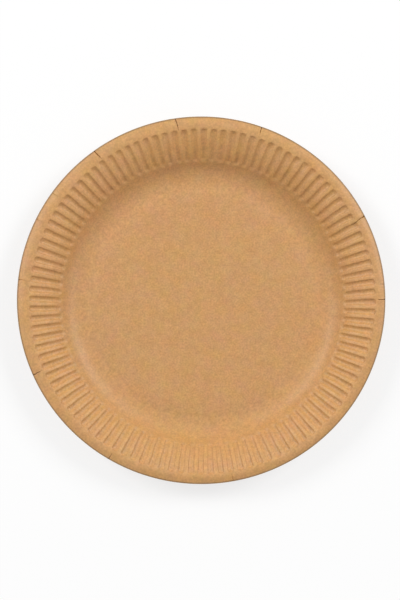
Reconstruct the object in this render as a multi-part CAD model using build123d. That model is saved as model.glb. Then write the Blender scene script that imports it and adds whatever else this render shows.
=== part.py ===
from build123d import *
from build123d.topology import SkipClean
from math import atan, cos, degrees, gcd, radians, sin, sqrt
import os

# A round paper plate, pressed in one stroke from a flat disc of kraft board: a slightly raised base inside a
# foot ring, a bend, a fluted wall that takes up the surplus board, and a brim that rolls over and down.
# Millimetres and degrees. The origin is the centre of the foot ring, on the table, with +Z up.

# The cut disc and the board
plate_diameter = 230.0
board_thickness = 0.45

# The flat foot ring that the plate stands on, and the base, which falls to it from a small rise
foot_diameter = 149.8
foot_width = 1.2
base_rise = 0.7
base_fall_width = 9.7

# The bend, the wall and the brim, as radii and slopes of the underside
bend_radius = 15.0
wall_foot_slope = 46.0
wall_head_slope = 12.0
brim_radius = 11.0
brim_fall = 24.0

# The flutes pressed into the wall, each the track of a ball that runs up to the brim: how many there are, how
# much plain wall is left below them, how deep they are at both ends, and how narrow the ridges between them
# start
flute_count = 108
plain_wall = 4.3
flute_inner_depth = 0.74
flute_outer_depth = 1.1
ridge_width = 0.6

# The creases across the brim, where the board gathered on its own: clockwise from +Y, seen from above
crease_angles = (18.9, 62.5, 89.7, 169.5, 209.5, 245.0, 275.5, 305.0, 323.6, 351.3)
crease_width = 0.5
crease_depth = 0.15
crease_length = 5.5

# How far a cutting or joining solid reaches past a face
overlap = 0.03

# The base falls by two arcs of one slope, which follows from their width and the rise
base_radius = foot_diameter / 2 - foot_width - base_fall_width
fall_slope = 2 * degrees(atan(base_rise / base_fall_width))
fall_radius = base_fall_width / sin(radians(fall_slope)) - bend_radius

# The wall's arc spans what the foot, the bend and the brim leave of the plate's radius
bend_width = bend_radius * sin(radians(wall_foot_slope))
brim_rise_width = brim_radius * sin(radians(wall_head_slope))
brim_fall_width = (brim_radius + board_thickness) * sin(radians(brim_fall))
wall_width = (plate_diameter - foot_diameter) / 2 - bend_width - brim_rise_width - brim_fall_width
wall_radius = wall_width / (sin(radians(wall_foot_slope)) - sin(radians(wall_head_slope)))

# The wall and the brim are made in sectors of up to this count of flutes, inside one round base
sector_flute_count = 12
base_to_bend = slice(0, 5)
wall_and_brim = slice(5, 7)


def section_line(lift):
    """The section's line from the axis to the brim's edge, an even distance above the underside."""
    base = Line((0, base_rise + lift), (base_radius, base_rise + lift))
    fall = JernArc(base @ 1, base % 1, fall_radius + lift, -fall_slope)
    toe = JernArc(fall @ 1, fall % 1, bend_radius - lift, fall_slope)
    foot = Line(toe @ 1, toe @ 1 + (foot_width, 0))
    bend = JernArc(foot @ 1, foot % 1, bend_radius - lift, wall_foot_slope)
    wall = JernArc(bend @ 1, bend % 1, wall_radius + lift, wall_head_slope - wall_foot_slope)
    brim = JernArc(wall @ 1, wall % 1, brim_radius + lift, -wall_head_slope - brim_fall)
    return [base, fall, toe, foot, bend, wall, brim]


def pressed_board(low, high, stretches=slice(None), turn=360):
    """The board between two such lines, over all of their stretches or some of them, round a turn."""
    under = section_line(low)[stretches]
    over = section_line(high)[stretches]
    inner_side = Line(under[0] @ 0, over[0] @ 0)
    outer_side = Line(under[-1] @ 1, over[-1] @ 1)
    return revolve(Plane.XZ * make_face([*under, outer_side, *over, inner_side]), Axis.Z, turn)


# The wall's upper face, which the flutes follow, and the brim's, which the creases follow
*_, wall_top, brim_top = section_line(board_thickness)


def wall_point(slope, height):
    """The point at a height off the wall's upper face, where that face has the given slope in radians."""
    reach = wall_top.radius + height
    centre = wall_top.arc_center
    return Vector(centre.X - reach * sin(slope), 0, centre.Y + reach * cos(slope))


# Where the flutes start. The ball's radius leaves the ridge width between two of them there
flute_start = radians(wall_foot_slope) - plain_wall / wall_top.radius
flute_pitch = radians(360 / flute_count) * wall_point(flute_start, 0).X
inner_half_width = (flute_pitch - ridge_width) / 2
ball_radius = (inner_half_width**2 + flute_inner_depth**2) / (2 * flute_inner_depth)
outer_half_width = sqrt(2 * ball_radius * flute_outer_depth - flute_outer_depth**2)


def ball_track(growth):
    """The track of the ball that presses a flute, grown by an even distance."""
    radius = ball_radius + growth
    first_slope = flute_start - inner_half_width / wall_top.radius
    last_slope = radians(wall_head_slope) + outer_half_width / wall_top.radius
    mean_depth = (flute_inner_depth + flute_outer_depth) / 2
    path = ThreePointArc(
        wall_point(first_slope, ball_radius - flute_inner_depth),
        wall_point((first_slope + last_slope) / 2, ball_radius - mean_depth),
        wall_point(last_slope, ball_radius - flute_outer_depth),
    )
    turn = degrees(path.length / path.radius)
    disc = Plane(origin=path @ 0, z_dir=path % 0) * Circle(radius)
    track = revolve(disc, Axis(path.arc_center, (0, 1, 0)), turn)
    quarter_arc = CenterArc((0, 0), radius, 0, 90)
    quarter = make_face([quarter_arc, Line((0, 0), (radius, 0)), Line((0, 0), (0, radius))])
    for end, heading in ((path @ 0, -(path % 0)), (path @ 1, path % 1)):
        half_plane = Plane(origin=end, x_dir=heading, z_dir=(0, 1, 0))
        track += revolve(half_plane * quarter, Axis(end, heading), 360)
    return track


def crease_tool():
    """The V that a crease leaves across the brim, from past its edge towards the flutes."""
    edge_point = brim_top @ 1
    edge_heading = brim_top % 1
    edge_plane = Plane(
        origin=(edge_point.X, 0, edge_point.Y),
        x_dir=(0, 1, 0),
        z_dir=(-edge_heading.X, 0, -edge_heading.Y),
    )
    rise = crease_depth + overlap
    side = crease_width / 2 * rise / crease_depth
    v_line = Polyline((0, -crease_depth), (side, overlap), (-side, overlap), close=True)
    notch = edge_plane * make_face(v_line)
    centre = brim_top.arc_center
    brim_axis = Axis((centre.X, 0, centre.Y), (0, 1, 0))
    past_edge = degrees(overlap / brim_top.radius)
    turn = degrees(crease_length / brim_top.radius)
    return revolve(notch.rotate(brim_axis, past_edge), brim_axis, -past_edge - turn)


def fluted_sector(flutes):
    """The wall and the brim round a number of flutes, from the middle of one ridge to that of another."""
    pitch = 360 / flute_count
    sector = Rot(Z=-pitch / 2) * pressed_board(0, board_thickness, wall_and_brim, flutes * pitch)
    # Each flute pushes the board's underside down as a pocket, then its upper face follows
    pocket = ball_track(board_thickness) & pressed_board(-2 * flute_outer_depth, overlap)
    track = ball_track(0)
    places = [Rot(Z=flute * pitch) for flute in range(flutes)]
    sector += [place * pocket for place in places]
    return sector - [place * track for place in places]


def plate():
    flutes = gcd(flute_count, sector_flute_count)
    sector = fluted_sector(flutes)
    crease = crease_tool()
    board = pressed_board(0, board_thickness, base_to_bend)
    # The sectors' seams stay in the faces, because merging them would leave faces that meet themselves
    with SkipClean():
        board += [*(PolarLocations(0, flute_count // flutes) * sector)]
        return board - [Rot(Z=90 - angle) * crease for angle in crease_angles]


if __name__ == "__main__":
    os.makedirs("parts", exist_ok=True)
    export_step(plate(), "parts/plate.step")
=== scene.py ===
import math

import bmesh
import bpy
from mathutils import Matrix, Vector


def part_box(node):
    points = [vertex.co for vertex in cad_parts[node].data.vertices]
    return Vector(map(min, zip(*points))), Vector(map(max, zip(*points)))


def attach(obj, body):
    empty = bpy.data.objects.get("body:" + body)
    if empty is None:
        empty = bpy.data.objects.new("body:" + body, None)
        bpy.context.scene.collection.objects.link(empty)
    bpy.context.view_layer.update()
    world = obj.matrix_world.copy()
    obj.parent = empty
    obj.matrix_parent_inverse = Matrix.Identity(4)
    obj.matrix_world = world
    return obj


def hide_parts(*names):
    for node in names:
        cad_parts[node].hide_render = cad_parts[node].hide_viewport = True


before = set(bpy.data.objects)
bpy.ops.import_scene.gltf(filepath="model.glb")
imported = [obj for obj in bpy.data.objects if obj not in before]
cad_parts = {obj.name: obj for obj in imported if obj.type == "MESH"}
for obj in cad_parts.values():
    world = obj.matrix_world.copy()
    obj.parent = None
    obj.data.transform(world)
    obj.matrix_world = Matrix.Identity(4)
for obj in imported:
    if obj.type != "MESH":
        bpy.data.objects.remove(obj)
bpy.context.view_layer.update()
plate_low, plate_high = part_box("plate")

# The board. The real plate is one disc of uncoated brown kraft board, pressed in one stroke between two
# dies, which raise the base inside its foot ring, bend up the wall and roll the brim over. Its section is
# drawn first, along the upper face and from the base outwards.
mm = 0.001
board_thickness = 0.45 * mm
rim_radius = plate_high.x
foot_outer_radius = 74.9 * mm
foot_width = 1.2 * mm
base_rise = 0.7 * mm
base_fall_width = 9.7 * mm
bend_radius = 18.0 * mm
wall_foot_slope = math.radians(45.0)
wall_head_slope = math.radians(13.0)
brim_radius = 9.3 * mm
brim_fall = math.radians(20.0)
edge_radius = 9.0 * mm
edge_fall = math.radians(8.0)

# The flutes take up the board that the smaller rim has no room for. Each is the track of one ball, which
# starts above a stretch of plain wall and runs up to the brim
flute_count = 108
plain_wall = 3.8 * mm
flute_overrun = 1.6 * mm
flute_inner_depth = 0.8 * mm
flute_outer_depth = 1.4 * mm
ball_radius = 2.2 * mm
outer_end_share = 0.4

base_radius = foot_outer_radius - foot_width - base_fall_width
fall_slope = 2 * math.atan(base_rise / base_fall_width)
fall_radius = base_fall_width / math.sin(fall_slope) - bend_radius
bend_width = (bend_radius - board_thickness) * math.sin(wall_foot_slope)
brim_width = brim_radius * (math.sin(wall_head_slope) + math.sin(brim_fall))
brim_width += edge_radius * (math.sin(brim_fall) - math.sin(edge_fall))
wall_width = rim_radius - foot_outer_radius - bend_width - brim_width
wall_radius = wall_width / (math.sin(wall_foot_slope) - math.sin(wall_head_slope))

bpy.ops.object.select_all(action="DESELECT")
bpy.ops.mesh.primitive_plane_add(size=foot_width)
board = bpy.context.object
board.name = "pressed_board"
bpy.ops.object.mode_set(mode="EDIT")
bpy.ops.mesh.merge(type="CENTER")
bpy.ops.transform.translate(value=(base_radius, 0, base_rise + board_thickness))


def heading(slope):
    """The direction in which the section runs on where it has a slope."""
    return Vector((math.cos(slope), 0, math.sin(slope)))


def upright(slope):
    """The direction straight out of the board's upper face where it has a slope."""
    return Vector((-math.sin(slope), 0, math.cos(slope)))


def draw_arc(start, slope, radius, turn, steps):
    """Draws the section on from its last point in steps along an arc, upwards where the turn is positive."""
    centre = start + upright(slope) * math.copysign(radius, turn)
    bpy.ops.mesh.spin(steps=steps, angle=turn, center=centre, axis=(0, 1, 0))
    return centre - upright(slope + turn) * math.copysign(radius, turn)


place = Vector((base_radius, 0, base_rise + board_thickness))
place = draw_arc(place, 0, fall_radius + board_thickness, -fall_slope, 2)
place = draw_arc(place, -fall_slope, bend_radius - board_thickness, fall_slope, 2)
bpy.ops.mesh.extrude_vertices_move(TRANSFORM_OT_translate={"value": (foot_width, 0, 0)})
place = place + Vector((foot_width, 0, 0))
place = draw_arc(place, 0, bend_radius - board_thickness, wall_foot_slope, 5)

# The wall's rows stand close together where the flutes begin and end
wall_centre = place - upright(wall_foot_slope) * wall_radius
flute_start = wall_foot_slope - plain_wall / wall_radius
flute_start_radius = (wall_centre + upright(flute_start) * wall_radius).x
inner_half_width = math.sqrt(2 * ball_radius * flute_inner_depth - flute_inner_depth**2)
outer_half_width = math.sqrt(2 * ball_radius * flute_outer_depth - flute_outer_depth**2)
first_slope = flute_start - inner_half_width / wall_radius
last_slope = wall_head_slope + (outer_half_width * outer_end_share - flute_overrun) / wall_radius
close_slope = wall_head_slope + flute_overrun / wall_radius
crown_slope = wall_head_slope - (flute_overrun + board_thickness) / brim_radius

place = draw_arc(place, wall_foot_slope, wall_radius, flute_start - wall_foot_slope, 3)
place = draw_arc(place, flute_start, wall_radius, first_slope - flute_start, 5)
place = draw_arc(place, first_slope, wall_radius, close_slope - first_slope, 7)
place = draw_arc(place, close_slope, wall_radius, wall_head_slope - close_slope, 3)
place = draw_arc(place, wall_head_slope, brim_radius, crown_slope - wall_head_slope, 4)
place = draw_arc(place, crown_slope, brim_radius, -brim_fall - crown_slope, 3)
place = draw_arc(place, -brim_fall, edge_radius, brim_fall - edge_fall, 2)

# The section is spun half a flute to each side, which gives the strip of board that one flute takes up
half_columns = 6
half_pitch = math.pi / flute_count
for side in (1, -1):
    bpy.ops.mesh.select_all(action="DESELECT")
    strip = bmesh.from_edit_mesh(board.data)
    for part in (*strip.verts, *strip.edges):
        points = part.verts if isinstance(part, bmesh.types.BMEdge) else [part]
        if all(abs(point.co.y) < board_thickness / 100 for point in points):
            part.select_set(True)
    bmesh.update_edit_mesh(board.data)
    bpy.ops.mesh.spin(steps=half_columns, angle=side * half_pitch, center=(0, 0, 0), axis=(0, 0, 1))
bpy.ops.object.mode_set(mode="OBJECT")

# The die that presses the flute is the ball's track: two half balls and the tube between them. Its centre
# line is an arc like the wall's, moved a little inwards so that the flute deepens on its way out
mean_slope = (first_slope + last_slope) / 2
deepening = (flute_outer_depth - flute_inner_depth) / 2
track_shift = deepening / math.sin((first_slope - last_slope) / 2)
track_centre = wall_centre - heading(mean_slope) * track_shift
track_radius = wall_radius + ball_radius - (flute_inner_depth + flute_outer_depth) / 2
ball_segments = 48
track_steps = 16
die_parts = []
for slope, way in ((first_slope, -1), (last_slope, 1)):
    ball_centre = track_centre + upright(slope) * track_radius
    outwards = heading(slope) * way
    bpy.ops.object.select_all(action="DESELECT")
    bpy.ops.mesh.primitive_uv_sphere_add(
        segments=ball_segments,
        ring_count=ball_segments // 2,
        radius=ball_radius,
        location=ball_centre,
        rotation=(0, math.pi / 2 - slope, 0),
    )
    die_parts.append(bpy.context.object)
    bpy.ops.object.mode_set(mode="EDIT")
    bpy.ops.mesh.select_all(action="SELECT")
    bpy.ops.mesh.bisect(plane_co=ball_centre, plane_no=outwards, clear_inner=True)
    bpy.ops.object.mode_set(mode="OBJECT")
    if way > 0:
        die_parts[-1].scale = (1, 1, outer_end_share)
bpy.ops.object.select_all(action="DESELECT")
bpy.ops.mesh.primitive_circle_add(
    vertices=ball_segments,
    radius=ball_radius,
    location=track_centre + upright(first_slope) * track_radius,
    rotation=(0, math.pi / 2 - first_slope, 0),
)
die = bpy.context.object
bpy.ops.object.mode_set(mode="EDIT")
bpy.ops.mesh.select_all(action="SELECT")
bpy.ops.mesh.spin(
    steps=track_steps, angle=last_slope - first_slope, center=track_centre, axis=(0, 1, 0)
)
bpy.ops.object.mode_set(mode="OBJECT")
for part in die_parts:
    part.select_set(True)
bpy.ops.object.join()
bpy.ops.object.mode_set(mode="EDIT")
bpy.ops.mesh.select_all(action="SELECT")
bpy.ops.mesh.remove_doubles(threshold=board_thickness / 100)
bpy.ops.mesh.normals_make_consistent(inside=False)
bpy.ops.object.mode_set(mode="OBJECT")

bpy.ops.object.select_all(action="DESELECT")
board.select_set(True)
bpy.context.view_layer.objects.active = board
press = board.modifiers.new("press", "SHRINKWRAP")
press.target = die
press.wrap_method = "NEAREST_SURFACEPOINT"
press.wrap_mode = "OUTSIDE"
bpy.ops.object.modifier_apply(modifier=press.name)
bpy.data.objects.remove(die)

# Both halves of the die are equally near to the flute's middle line, which may be pressed onto either, so
# it is put back between them
middle_reach = board_thickness / 4
bpy.ops.object.mode_set(mode="EDIT")
bpy.ops.mesh.select_all(action="DESELECT")
strip = bmesh.from_edit_mesh(board.data)
for vertex in strip.verts:
    if abs(vertex.co.y) < middle_reach:
        vertex.select_set(True)
bmesh.update_edit_mesh(board.data)
bpy.ops.transform.resize(value=(1, 0, 1), center_override=(0, 0, 0))

# The pressed strip is copied round the plate, and the base is closed by one flat face
bpy.ops.mesh.select_all(action="SELECT")
bpy.ops.mesh.spin(
    steps=flute_count - 1,
    dupli=True,
    angle=math.tau * (flute_count - 1) / flute_count,
    center=(0, 0, 0),
    axis=(0, 0, 1),
)
bpy.ops.mesh.select_all(action="SELECT")
bpy.ops.mesh.remove_doubles(threshold=board_thickness / 100)
bpy.ops.mesh.select_all(action="DESELECT")
disc = bmesh.from_edit_mesh(board.data)
for edge in disc.edges:
    if edge.is_boundary and edge.verts[0].co.xy.length < base_radius + foot_width:
        edge.select_set(True)
bmesh.update_edit_mesh(board.data)
bpy.ops.mesh.edge_face_add()
bpy.ops.mesh.select_all(action="SELECT")
bpy.ops.mesh.normals_make_consistent(inside=False)
disc = bmesh.from_edit_mesh(board.data)
base_face = max(disc.faces, key=lambda face: len(face.verts))
if base_face.normal.z < 0:
    bpy.ops.mesh.flip_normals()

# The ridges between the flutes are soft folds, so the wall is smoothed a little
bpy.ops.mesh.select_all(action="DESELECT")
disc = bmesh.from_edit_mesh(board.data)
wall_head_radius = (wall_centre + upright(wall_head_slope) * wall_radius).x
for vertex in disc.verts:
    if flute_start_radius - plain_wall / 4 < vertex.co.xy.length < wall_head_radius + plain_wall / 4:
        vertex.select_set(True)
bmesh.update_edit_mesh(board.data)
bpy.ops.mesh.vertices_smooth(factor=0.5, repeat=1)
bpy.ops.object.mode_set(mode="OBJECT")

# The ridges' tops are marked for a painted highlight in the material, fading out over a share of the flutes'
# pitch to each side
ridge_share = 0.25
painted_ridge_highlight = board.data.attributes.new("painted_ridge_highlight", "FLOAT", "POINT")
for vertex in board.data.vertices:
    from_ridge = abs(math.atan2(vertex.co.y, vertex.co.x) / (2 * half_pitch) % 1 - 0.5)
    if flute_start_radius < vertex.co.xy.length < wall_head_radius:
        painted_ridge_highlight.data[vertex.index].value = max(0, 1 - from_ridge / ridge_share)

# The pressed form lies off the cut rim's centre, a little to the right and towards the viewer
die_shift = Vector((0.8 * mm, -1.0 * mm, 0))
pressed_group = board.vertex_groups.new(name="pressed")
for vertex in board.data.vertices:
    inwards = (rim_radius - vertex.co.xy.length) / brim_width
    pressed_group.add([vertex.index], min(1, inwards), "REPLACE")
for direction, reach in zip("XY", die_shift):
    push = board.modifiers.new(direction, "DISPLACE")
    push.direction = direction
    push.vertex_group = "pressed"
    push.mid_level = 0
    push.strength = reach
    bpy.ops.object.modifier_apply(modifier=push.name)

# Across the brim the surplus board is gathered into tight creases. Each is cut into the mesh as three
# lines, of which the middle one goes down and one outer one may rise as a lip
crease_width = 1.0 * mm
deepest_crease = 0.6 * mm
lip_height = 0.14 * mm
taper_power = 4

# Each crease's degrees clockwise from +Y, the degrees its inner end leans clockwise, its length, its share
# of the deepest, and its lip: 1 on its clockwise side, -1 on the other, 0 for none
creases = (
    (18.9, 4, 6.0 * mm, 1.0, 0),
    (37.0, 0, 4.0 * mm, 0.25, 0),
    (62.5, 9, 10.0 * mm, 1.0, 0),
    (84.9, 0, 4.0 * mm, 0.25, 0),
    (89.7, 2, 5.4 * mm, 0.8, -1),
    (112.0, 0, 4.0 * mm, 0.25, 0),
    (135.4, 3, 4.0 * mm, 0.25, 0),
    (151.0, -3, 4.0 * mm, 0.25, 0),
    (169.5, 3, 5.0 * mm, 0.45, 0),
    (194.7, 0, 4.0 * mm, 0.25, 0),
    (209.5, -3, 5.0 * mm, 0.7, 1),
    (226.9, 2, 4.0 * mm, 0.25, 0),
    (245.0, 3, 6.5 * mm, 1.0, 0),
    (265.9, 0, 4.0 * mm, 0.2, 0),
    (275.5, -2, 5.0 * mm, 0.55, 0),
    (285.8, 0, 4.0 * mm, 0.2, 0),
    (295.4, 0, 4.0 * mm, 0.25, 0),
    (305.0, 3, 5.0 * mm, 0.4, 0),
    (323.6, 9, 8.0 * mm, 1.0, 1),
    (341.8, 0, 4.0 * mm, 0.25, 0),
    (351.3, 9, 8.6 * mm, 0.9, 1),
)
for name in ("creases", "lips"):
    board.vertex_groups.new(name=name)
for place_angle, lean_angle, length, depth_share, lip_side in creases:
    clockwise = math.radians(place_angle)
    lean = math.radians(lean_angle)
    outwards = Vector((math.sin(clockwise), math.cos(clockwise), 0))
    sideways = Vector((math.cos(clockwise), -math.sin(clockwise), 0))
    across = sideways * math.cos(lean) + outwards * math.sin(lean)
    edge_point = outwards * rim_radius
    for side in (-1, 0, 1):
        cut_point = edge_point + across * side * crease_width / 2
        bpy.ops.object.mode_set(mode="EDIT")
        bpy.ops.mesh.select_all(action="DESELECT")
        disc = bmesh.from_edit_mesh(board.data)
        for face in disc.faces:
            centre = face.calc_center_median()
            inwards = rim_radius - centre.dot(outwards)
            if inwards < length and abs((centre - cut_point).dot(across)) < crease_width:
                face.select_set(True)
        bmesh.update_edit_mesh(board.data)
        bpy.ops.mesh.bisect(plane_co=cut_point, plane_no=across, threshold=crease_width / 20)
        bpy.ops.object.mode_set(mode="OBJECT")
        for vertex in board.data.vertices:
            if vertex.select:
                inwards = max(0, (rim_radius - vertex.co.dot(outwards)) / length)
                taper = max(0, 1 - inwards**taper_power)
                if side == 0:
                    board.vertex_groups["creases"].add([vertex.index], depth_share * taper, "REPLACE")
                elif side == lip_side:
                    board.vertex_groups["lips"].add([vertex.index], taper, "REPLACE")
# The creases' depth is kept as an attribute too, which the material uses to paint shade into the creases
crease_index = board.vertex_groups["creases"].index
crease_shade = board.data.attributes.new("crease_shade", "FLOAT", "POINT")
for vertex in board.data.vertices:
    for member in vertex.groups:
        if member.group == crease_index:
            crease_shade.data[vertex.index].value = member.weight
for name, rise in (("creases", -deepest_crease), ("lips", lip_height)):
    push = board.modifiers.new(name, "DISPLACE")
    push.direction = "Z"
    push.vertex_group = name
    push.mid_level = 0
    push.strength = rise
    bpy.ops.object.modifier_apply(modifier=push.name)

# No two flutes are quite alike, so the wall and the brim are moved about a little at random, less and less
# towards the foot and towards the rim, which was cut true
loose_group = board.vertex_groups.new(name="loose")
for vertex in board.data.vertices:
    from_foot = (vertex.co.xy.length - foot_outer_radius) / (flute_start_radius - foot_outer_radius)
    from_rim = (rim_radius - vertex.co.xy.length) / brim_width
    looseness = min(1, from_foot, from_rim)
    if looseness > 0:
        loose_group.add([vertex.index], looseness, "REPLACE")
for name, patch_size, reach in (("wander", 14 * mm, 0.4 * mm), ("jitter", 5 * mm, 0.45 * mm)):
    clouds = bpy.data.textures.new(name, "CLOUDS")
    clouds.cloud_type = "COLOR"
    clouds.noise_scale = patch_size
    clouds.noise_depth = 1
    stir = board.modifiers.new(name, "DISPLACE")
    stir.texture = clouds
    stir.texture_coords = "LOCAL"
    stir.direction = "RGB_TO_XYZ"
    stir.vertex_group = "loose"
    stir.mid_level = 0.5
    stir.strength = reach
    bpy.ops.object.modifier_apply(modifier=stir.name)

# Last, the board gets its thickness, downwards from the upper face
wall = board.modifiers.new("board", "SOLIDIFY")
wall.thickness = board_thickness
wall.offset = -1
wall.use_even_offset = True
bpy.ops.object.modifier_apply(modifier=wall.name)
bpy.ops.object.shade_smooth_by_angle(angle=math.radians(50))

# The kraft board's finish: brown pulp with mottling from fine fibres up to broad warm and olive patches.
# Each layer is the size of its patches and how much it changes red, green and blue, together by the noise's
# Fac or each on its own by its Color
kraft_brown = (0.568, 0.300, 0.117)
mottling = (
    (0.5 * mm, (0.04, 0.04, 0.04), "Fac"),
    (1.1 * mm, (0.19, 0.19, 0.19), "Fac"),
    (2.6 * mm, (0.09, 0.09, 0.09), "Fac"),
    (4.0 * mm, (0.03, 0.04, 0.08), "Color"),
    (9.0 * mm, (0.03, 0.04, 0.12), "Color"),
    (60.0 * mm, (0.02, 0.02, 0.06), "Color"),
)
kraft = bpy.data.materials.new("kraft_board")
kraft.use_nodes = True
kraft_tree = kraft.node_tree
kraft_shader = kraft_tree.nodes["Principled BSDF"]
kraft_shader.inputs["Roughness"].default_value = 0.5
kraft_shader.inputs["Specular IOR Level"].default_value = 0.45
place_on_board = kraft_tree.nodes.new("ShaderNodeTexCoord").outputs["Object"]


def kraft_noise(patch_size, detail=0.0):
    """A noise over the board with patches of a size."""
    noise = kraft_tree.nodes.new("ShaderNodeTexNoise")
    noise.inputs["Scale"].default_value = 1 / patch_size
    noise.inputs["Detail"].default_value = detail
    kraft_tree.links.new(place_on_board, noise.inputs["Vector"])
    return noise


def kraft_vector(operation, *values):
    """Arithmetic on colours, each a socket or three numbers."""
    node = kraft_tree.nodes.new("ShaderNodeVectorMath")
    node.operation = operation
    for value, socket in zip(values, node.inputs):
        if isinstance(value, bpy.types.NodeSocket):
            kraft_tree.links.new(value, socket)
        else:
            socket.default_value = value
    return node.outputs["Vector"]


kraft_colour = kraft_brown
for patch_size, change, channel in mottling:
    noise = kraft_noise(patch_size)
    spread = [2 * share for share in change]
    least = [1 - share for share in change]
    tint = kraft_vector("MULTIPLY_ADD", noise.outputs[channel], spread, least)
    kraft_colour = kraft_vector("MULTIPLY", tint, kraft_colour)

flat_place = kraft_vector("MULTIPLY", place_on_board, (1, 1, 0))
from_axis = kraft_tree.nodes.new("ShaderNodeVectorMath")
from_axis.operation = "LENGTH"
kraft_tree.links.new(flat_place, from_axis.inputs[0])


def ring_mask(start, end):
    """Rises from nought to one between two distances from the axis."""
    mask = kraft_tree.nodes.new("ShaderNodeMapRange")
    mask.inputs["From Min"].default_value = start
    mask.inputs["From Max"].default_value = end
    kraft_tree.links.new(from_axis.outputs["Value"], mask.inputs["Value"])
    return mask.outputs["Result"]


def shaded(colour, shade, mask):
    """The colour times a shade, where the mask is one."""
    mix = kraft_tree.nodes.new("ShaderNodeMix")
    mix.data_type = "RGBA"
    kraft_tree.links.new(mask, mix.inputs["Factor"])
    kraft_tree.links.new(colour, mix.inputs["A"])
    kraft_tree.links.new(kraft_vector("MULTIPLY", colour, shade), mix.inputs["B"])
    return mix.outputs["Result"]


# Painted shade colour: from the bend outwards, and fully from where the flutes start, the board is tinted
# warmer and less blue, standing in for the deeper brown of the wall's shade
painted_shade_warmth = (1.02, 1.0, 0.9)
kraft_colour = shaded(kraft_colour, painted_shade_warmth, ring_mask(foot_outer_radius - foot_width, flute_start_radius))
# Painted sheen: from the flutes' start outwards, over the flutes and the brim, the board is tinted paler and
# bluer
painted_sheen = (1.02, 1.05, 1.13)
kraft_colour = shaded(kraft_colour, painted_sheen, ring_mask(flute_start_radius, wall_head_radius))

# The cut edge is greyer and darker
edge_width = 1.1 * mm
edge_shade = (0.55, 0.58, 0.62)
edge_mask = ring_mask(rim_radius - edge_width, rim_radius - edge_width / 2)
kraft_colour = shaded(kraft_colour, edge_shade, edge_mask)

# Painted light: the ridges' tops get a painted highlight, a little paler, and the creases get painted shade,
# dark inside where the board is folded tight
for name, shade in (("painted_ridge_highlight", (1.08, 1.08, 1.08)), ("crease_shade", (0.3, 0.22, 0.15))):
    mask = kraft_tree.nodes.new("ShaderNodeAttribute")
    mask.attribute_name = name
    kraft_colour = shaded(kraft_colour, shade, mask.outputs["Fac"])
kraft_tree.links.new(kraft_colour, kraft_shader.inputs["Base Color"])

# The fibres stand out of the surface a little
fibre_size = 0.8 * mm
fibre_detail = 2.0
fibre_height = 0.02 * mm
fibre_relief = kraft_tree.nodes.new("ShaderNodeBump")
fibre_relief.inputs["Strength"].default_value = 1.0
fibre_relief.inputs["Distance"].default_value = fibre_height
kraft_tree.links.new(kraft_noise(fibre_size, fibre_detail).outputs["Fac"], fibre_relief.inputs["Height"])
kraft_tree.links.new(fibre_relief.outputs["Normal"], kraft_shader.inputs["Normal"])
board.data.materials.clear()
board.data.materials.append(kraft)
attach(board, "root")
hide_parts("plate")

# The floor is plain and white, and wide enough that its edge never shows. Seen by the camera it is lifted
# to full white and keeps the plate's shadow, and all other light meets it as plain white board.
floor_half_width = 3.0
floor_white = 0.9
shadow_share = 0.25
bpy.ops.object.select_all(action="DESELECT")
bpy.ops.mesh.primitive_plane_add(size=2 * floor_half_width, location=(0, 0, plate_low.z))
floor = bpy.context.object
floor.name = "floor"
white = bpy.data.materials.new("white_floor")
white.use_nodes = True
white_tree = white.node_tree
white_tree.nodes.clear()
floor_output = white_tree.nodes.new("ShaderNodeOutputMaterial")
seen = white_tree.nodes.new("ShaderNodeLightPath")
lit_floor = white_tree.nodes.new("ShaderNodeBsdfDiffuse")
lit_floor.inputs["Color"].default_value = (floor_white, floor_white, floor_white, 1)
seen_floor = white_tree.nodes.new("ShaderNodeBsdfDiffuse")
seen_floor.inputs["Color"].default_value = (shadow_share, shadow_share, shadow_share, 1)
floor_glow = white_tree.nodes.new("ShaderNodeEmission")
floor_glow.inputs["Strength"].default_value = 1 - shadow_share
seen_white = white_tree.nodes.new("ShaderNodeAddShader")
white_tree.links.new(seen_floor.outputs["BSDF"], seen_white.inputs[0])
white_tree.links.new(floor_glow.outputs["Emission"], seen_white.inputs[1])


def seen_directly(tree, paths):
    """One for what the camera sees, also by a reflection or through glass, and nought for other light."""
    either = paths.outputs["Is Camera Ray"]
    for name in ("Is Glossy Ray", "Is Transmission Ray"):
        most = tree.nodes.new("ShaderNodeMath")
        most.operation = "MAXIMUM"
        tree.links.new(either, most.inputs[0])
        tree.links.new(paths.outputs[name], most.inputs[1])
        either = most.outputs["Value"]
    return either


floor_mix = white_tree.nodes.new("ShaderNodeMixShader")
white_tree.links.new(seen_directly(white_tree, seen), floor_mix.inputs["Fac"])
white_tree.links.new(lit_floor.outputs["BSDF"], floor_mix.inputs[1])
white_tree.links.new(seen_white.outputs["Shader"], floor_mix.inputs[2])
white_tree.links.new(floor_mix.outputs["Shader"], floor_output.inputs["Surface"])
floor.data.materials.append(white)

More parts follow.
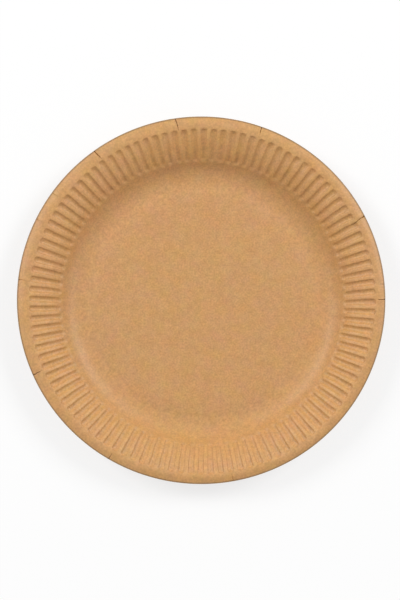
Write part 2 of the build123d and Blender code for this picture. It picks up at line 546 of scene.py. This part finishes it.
# The light is two wide soft boxes, half-way up and to the left and right of the table's head, in a pale
# room. Together they light a flat white thing to white. In the photograph the plate is turned a little
# clockwise, so the light and the camera are turned the other way
photo_turn = math.radians(0.5)
room_strength = 0.32
room = bpy.data.worlds.new("pale_room")
bpy.context.scene.world = room
room.use_nodes = True
room_tree = room.node_tree
room_tree.nodes.clear()
room_output = room_tree.nodes.new("ShaderNodeOutputWorld")
room_light = room_tree.nodes.new("ShaderNodeBackground")
room_light.inputs["Strength"].default_value = room_strength
room_light.inputs["Color"].default_value = (1, 1, 1, 1)
room_seen = room_tree.nodes.new("ShaderNodeBackground")
room_seen.inputs["Strength"].default_value = 1.0
room_seen.inputs["Color"].default_value = (1, 1, 1, 1)
room_mix = room_tree.nodes.new("ShaderNodeMixShader")
room_paths = room_tree.nodes.new("ShaderNodeLightPath")
room_tree.links.new(seen_directly(room_tree, room_paths), room_mix.inputs["Fac"])
room_tree.links.new(room_light.outputs["Background"], room_mix.inputs[1])
room_tree.links.new(room_seen.outputs["Background"], room_mix.inputs[2])
room_tree.links.new(room_mix.outputs["Shader"], room_output.inputs["Surface"])

light_distance = 3.0
light_size = 1.2
light_height = math.radians(39)
light_turns = (math.radians(-60), math.radians(60))
lamp_share = (1 - room_strength) / len(light_turns)
turned = Matrix.Rotation(photo_turn, 4, "Z")
for number, light_turn in enumerate(light_turns, 1):
    soft_box = bpy.data.lights.new(f"soft_box_{number}", "AREA")
    soft_box.shape = "SQUARE"
    soft_box.size = light_size
    soft_box.energy = lamp_share * math.pi**2 * light_distance**2 / math.sin(light_height)
    soft_box_object = bpy.data.objects.new(soft_box.name, soft_box)
    bpy.context.collection.objects.link(soft_box_object)
    light_way = Vector((0, math.cos(light_height), math.sin(light_height)))
    light_way.rotate(turned @ Matrix.Rotation(light_turn, 4, "Z"))
    soft_box_object.location = light_way * light_distance
    soft_box_object.rotation_euler = light_way.to_track_quat("Z", "Y").to_euler()

# The camera looks straight down on the plate, from a little towards the viewer's side
camera_distance = 1.05
camera_height = math.radians(86)
frame_height = 0.3740
camera_data = bpy.data.cameras.new("camera")
camera_data.lens = camera_data.sensor_width * camera_distance / frame_height
camera = bpy.data.objects.new("camera", camera_data)
bpy.context.collection.objects.link(camera)
bpy.context.scene.camera = camera
aim = Vector((-0.7 * mm, -0.8 * mm, plate_high.z))
camera_way = Vector((0, -math.cos(camera_height), math.sin(camera_height)))
camera.location = turned @ (aim + camera_way * camera_distance)
camera.rotation_euler = (math.pi / 2 - camera_height, 0, photo_turn)

bpy.context.scene.view_settings.view_transform = "Standard"
